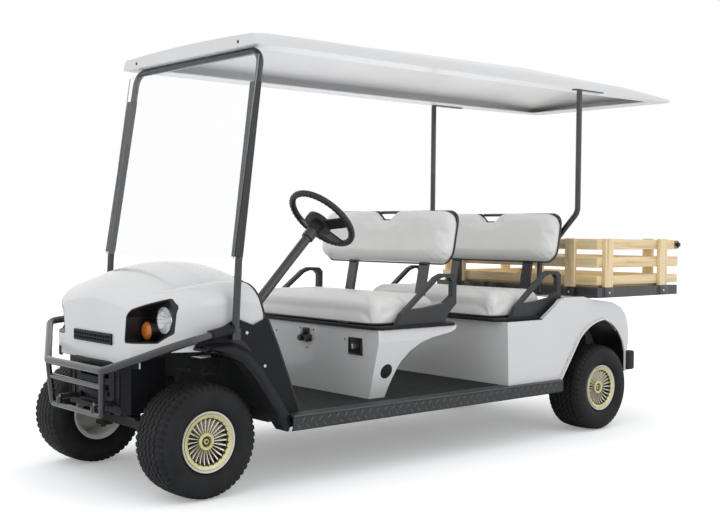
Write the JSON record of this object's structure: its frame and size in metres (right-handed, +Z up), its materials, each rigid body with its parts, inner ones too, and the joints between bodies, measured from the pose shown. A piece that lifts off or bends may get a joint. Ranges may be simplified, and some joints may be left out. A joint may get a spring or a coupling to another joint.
{
  "type": "four-seat utility golf cart with stake bed",
  "caption": "Utility golf cart with forward-facing bench seats, long roof on steel struts, clear windshield, brush guard and a wooden stake bed with a drop gate.",
  "frame": {"origin": "on the ground, under the middle of the overall length, on the centre plane", "axes": "+X towards the cart's left, -Y towards its front, +Z up"},
  "size_m": [1.199, 3.545, 1.9669],
  "materials": {
    "body_paint": "gloss",
    "charcoal_plastic": "satin",
    "black_steel": "satin",
    "grip_plastic": "matte",
    "seat_vinyl": "satin",
    "mat_rubber": "matte",
    "pine_wood": "satin",
    "clear_glazing": "gloss",
    "lamp_lens": "gloss",
    "amber_lens": "gloss",
    "axle_iron": "matte",
    "tyre_rubber": "matte",
    "wheel_enamel": "gloss"
  },
  "bodies": {
    "root": {"chassis_frame": "black_steel", "floor_panel": "mat_rubber", "sill_covers": "charcoal_plastic", "front_cowl": "body_paint", "dash_panel": "charcoal_plastic", "front_aprons": "charcoal_plastic", "front_fascia": "charcoal_plastic", "nose_grille": "charcoal_plastic", "lamp_bezels": "charcoal_plastic", "headlamp_lenses": "lamp_lens", "turn_lenses": "amber_lens", "brush_guard": "black_steel", "front_hoop": "black_steel", "windshield": "clear_glazing", "windshield_strips": "charcoal_plastic", "rear_struts": "black_steel", "canopy": "body_paint", "front_seat_pod": "body_paint", "seat_trays": "charcoal_plastic", "seat_backs": "seat_vinyl", "seat_back_frames": "black_steel", "hip_restraints": "charcoal_plastic", "rear_body": "body_paint", "rear_bumper": "charcoal_plastic", "bed_frame": "black_steel", "bed_floor": "pine_wood", "bed_sides": "pine_wood", "front_axle": "axle_iron", "leaf_springs": "axle_iron", "rear_axle": "axle_iron", "engine": "axle_iron", "steering_column": "black_steel", "pedals": "charcoal_plastic"},
    "steering_wheel": {"steering_wheel": "grip_plastic"},
    "tie_rod": {"tie_rod": "black_steel"},
    "knuckle_left": {"knuckle_left": "axle_iron"},
    "knuckle_right": {"knuckle_right": "axle_iron"},
    "front_seat": {"front_seat_cushion": "seat_vinyl"},
    "rear_seat": {"rear_seat_cushion": "seat_vinyl"},
    "tailgate": {"tailgate": "pine_wood"},
    "wheel_front_left": {"tyre_front_left": "tyre_rubber", "wheel_rim_front_left": "wheel_enamel"},
    "wheel_front_right": {"tyre_front_right": "tyre_rubber", "wheel_rim_front_right": "wheel_enamel"},
    "wheel_rear_left": {"tyre_rear_left": "tyre_rubber", "wheel_rim_rear_left": "wheel_enamel"},
    "wheel_rear_right": {"tyre_rear_right": "tyre_rubber", "wheel_rim_rear_right": "wheel_enamel"}
  },
  "joints": [
    {"name": "left_kingpin", "type": "hinge", "parent": "root", "child": "knuckle_left", "pos_m": [0.318, -1.4555, 0.2285], "axis": [0, 0, 1], "range_deg": [-25, 25]},
    {"name": "right_kingpin", "type": "hinge", "parent": "root", "child": "knuckle_right", "pos_m": [-0.318, -1.4555, 0.2285], "axis": [0, 0, 1], "range_deg": [-25, 25]},
    {"name": "tie_rod_slide", "type": "slide", "parent": "root", "child": "tie_rod", "axis": [1, 0, 0], "range_m": [-0.045, 0.045]},
    {"name": "steering_wheel_turn", "type": "hinge", "parent": "root", "child": "steering_wheel", "pos_m": [0.3, -0.7025, 1.111], "axis": [0, 0.6972, 0.7169], "range_deg": [-360, 360]},
    {"name": "wheel_front_left_spin", "type": "hinge", "parent": "knuckle_left", "child": "wheel_front_left", "pos_m": [0.444, -1.4555, 0.2285], "axis": [1, 0, 0], "continuous": true},
    {"name": "wheel_front_right_spin", "type": "hinge", "parent": "knuckle_right", "child": "wheel_front_right", "pos_m": [-0.444, -1.4555, 0.2285], "axis": [1, 0, 0], "continuous": true},
    {"name": "wheel_rear_left_spin", "type": "hinge", "parent": "root", "child": "wheel_rear_left", "pos_m": [0.4915, 1.0165, 0.2285], "axis": [1, 0, 0], "continuous": true},
    {"name": "wheel_rear_right_spin", "type": "hinge", "parent": "root", "child": "wheel_rear_right", "pos_m": [-0.4915, 1.0165, 0.2285], "axis": [1, 0, 0], "continuous": true},
    {"name": "front_seat_lift", "type": "hinge", "parent": "root", "child": "front_seat", "pos_m": [0, -0.5495, 0.634], "axis": [1, 0, 0], "range_deg": [0, 60]},
    {"name": "rear_seat_lift", "type": "hinge", "parent": "root", "child": "rear_seat", "pos_m": [0, 0.2435, 0.634], "axis": [1, 0, 0], "range_deg": [0, 60]},
    {"name": "tailgate_drop", "type": "hinge", "parent": "root", "child": "tailgate", "pos_m": [0, 1.7245, 0.783], "axis": [-1, 0, 0], "range_deg": [0, 90]}
  ],
  "couplings": [
    {"joint": "right_kingpin", "follows": "left_kingpin", "ratio": 1},
    {"joint": "tie_rod_slide", "follows": "left_kingpin", "m_per_rad": -0.094},
    {"joint": "steering_wheel_turn", "follows": "left_kingpin", "ratio": 14.4}
  ]
}
